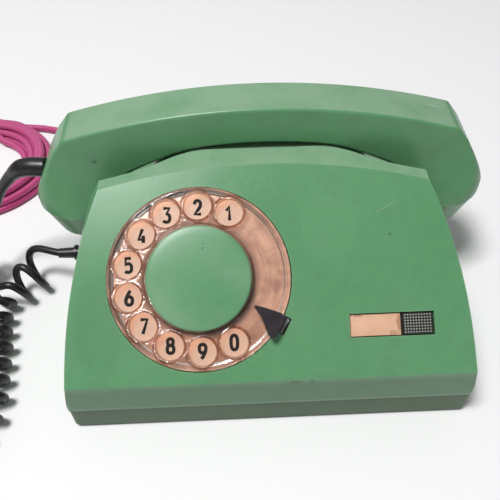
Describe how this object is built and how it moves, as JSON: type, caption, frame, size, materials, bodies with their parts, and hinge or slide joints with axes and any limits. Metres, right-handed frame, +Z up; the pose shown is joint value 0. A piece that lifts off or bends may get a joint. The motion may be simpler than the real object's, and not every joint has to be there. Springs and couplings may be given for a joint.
{
  "type": "rotary telephone",
  "caption": "Desk telephone with a sloped panel, clear rotary finger wheel, window with card and key, handset on a cradle, curly and line cords.",
  "frame": {"origin": "on the table, in the middle of the telephone's footprint, cords left out", "axes": "+Z up, -Y towards the user and the front panel, +X to the user's right"},
  "size_m": [0.404, 0.2825, 0.12],
  "materials": {
    "mint_plastic": "aged mint green moulding, semi-gloss",
    "mint_tray": "aged mint green tray, satin",
    "plate": "aged cream, stained",
    "clear_plastic": "clear acrylic, yellowed",
    "black_plastic": "black, glossy",
    "black_key": "black, raised dots",
    "card": "aged cream card",
    "rubber": "black rubber",
    "black_cord": "black flexible PVC",
    "magenta_cord": "magenta flexible PVC",
    "steel": "plated steel",
    "brass": "brass",
    "copper_coil": "wound enamelled wire",
    "board": "phenolic board",
    "dark_part": "dark moulding",
    "blue_can": "blue sleeve",
    "white_plastic": "off-white moulding",
    "alloy": "bare alloy"
  },
  "bodies": {
    "housing": {"upper_housing": "mint_plastic", "base_tray": "mint_tray", "rubber_feet": "rubber", "base_screws": "steel", "number_plate": "plate", "dial_frame": "alloy", "dial_back_plate": "steel", "dial_screws": "brass", "finger_stop": "black_plastic", "return_spring": "steel", "pulse_contacts": "brass", "governor_cup": "brass", "label_tray": "dark_part", "label_card": "card", "button_spring": "steel", "button_switch": "white_plastic", "lever_pin": "steel", "hook_bracket": "steel", "hook_contacts": "brass", "ringer_frame": "steel", "ringer_coils": "copper_coil", "left_gong": "steel", "right_gong": "steel", "gong_posts": "steel", "circuit_board": "board", "line_transformer": "dark_part", "capacitors": "blue_can", "terminal_block": "dark_part", "handset_lead": "black_cord", "curly_cord": "black_cord", "body_lead": "black_cord", "body_relief": "black_cord", "line_gland": "dark_part", "line_cord": "magenta_cord", "line_cord_coil": "magenta_cord", "cord_tie": "dark_part", "line_tail": "magenta_cord", "line_plug": "white_plastic"},
    "handset": {"handset_shell": "mint_plastic", "ear_cap": "mint_plastic", "mouth_cap": "mint_plastic", "ear_capsule": "alloy", "mouth_capsule": "dark_part", "handset_relief": "black_cord"},
    "dial": {"finger_wheel": "clear_plastic", "wheel_cap": "mint_plastic", "wheel_nut": "steel", "main_shaft": "steel", "main_gear": "brass"},
    "pulse_train": {"pulse_gear": "white_plastic"},
    "governor": {"governor_rotor": "steel"},
    "recall_key": {"recall_button": "black_key"},
    "hook_keys": {"hook_plungers": "white_plastic"},
    "hook_rocker": {"hook_lever": "steel"},
    "bell_clapper": {"clapper": "steel"}
  },
  "joints": [
    {"name": "handset_lift", "type": "slide", "parent": "housing", "child": "handset", "axis": [0, 0, 1], "range_m": [0, 0.1]},
    {"name": "dial_turn", "type": "hinge", "parent": "housing", "child": "dial", "pos_m": [-0.0325, -0.04543, 0.06805], "axis": [0, -0.5821, 0.8131], "range_deg": [-308.6, 0], "stiffness_Nm_per_rad": 0.005, "springref_deg": 114.59},
    {"name": "pulse_turn", "type": "hinge", "parent": "housing", "child": "pulse_train", "pos_m": [-0.0025, -0.03961, 0.05992], "axis": [0, -0.5821, 0.8131], "range_deg": [-1, 1235]},
    {"name": "governor_turn", "type": "hinge", "parent": "housing", "child": "governor", "pos_m": [-0.00716, -0.02547, 0.07004], "axis": [0, -0.5821, 0.8131], "range_deg": [-4321, 1]},
    {"name": "recall_press", "type": "slide", "parent": "housing", "child": "recall_key", "axis": [0, 0.5821, -0.8131], "range_m": [0, 0.002], "stiffness_N_per_m": 400, "springref_m": -0.002},
    {"name": "plunger_rise", "type": "slide", "parent": "housing", "child": "hook_keys", "axis": [0, 0, 1], "range_m": [0, 0.005]},
    {"name": "rocker_turn", "type": "hinge", "parent": "housing", "child": "hook_rocker", "pos_m": [0, 0.047, 0.0705], "axis": [-1, 0, 0], "range_deg": [0, 11.2]},
    {"name": "clapper_swing", "type": "hinge", "parent": "housing", "child": "bell_clapper", "pos_m": [0, 0.055, 0.015], "axis": [0, 1, 0], "range_deg": [-3, 3], "stiffness_Nm_per_rad": 0.001}
  ],
  "couplings": [
    {"joint": "pulse_turn", "follows": "dial_turn", "ratio": -4},
    {"joint": "governor_turn", "follows": "dial_turn", "ratio": 14},
    {"joint": "plunger_rise", "follows": "handset_lift", "ratio": 0.05},
    {"joint": "rocker_turn", "follows": "handset_lift", "rad_per_m": 1.95}
  ]
}
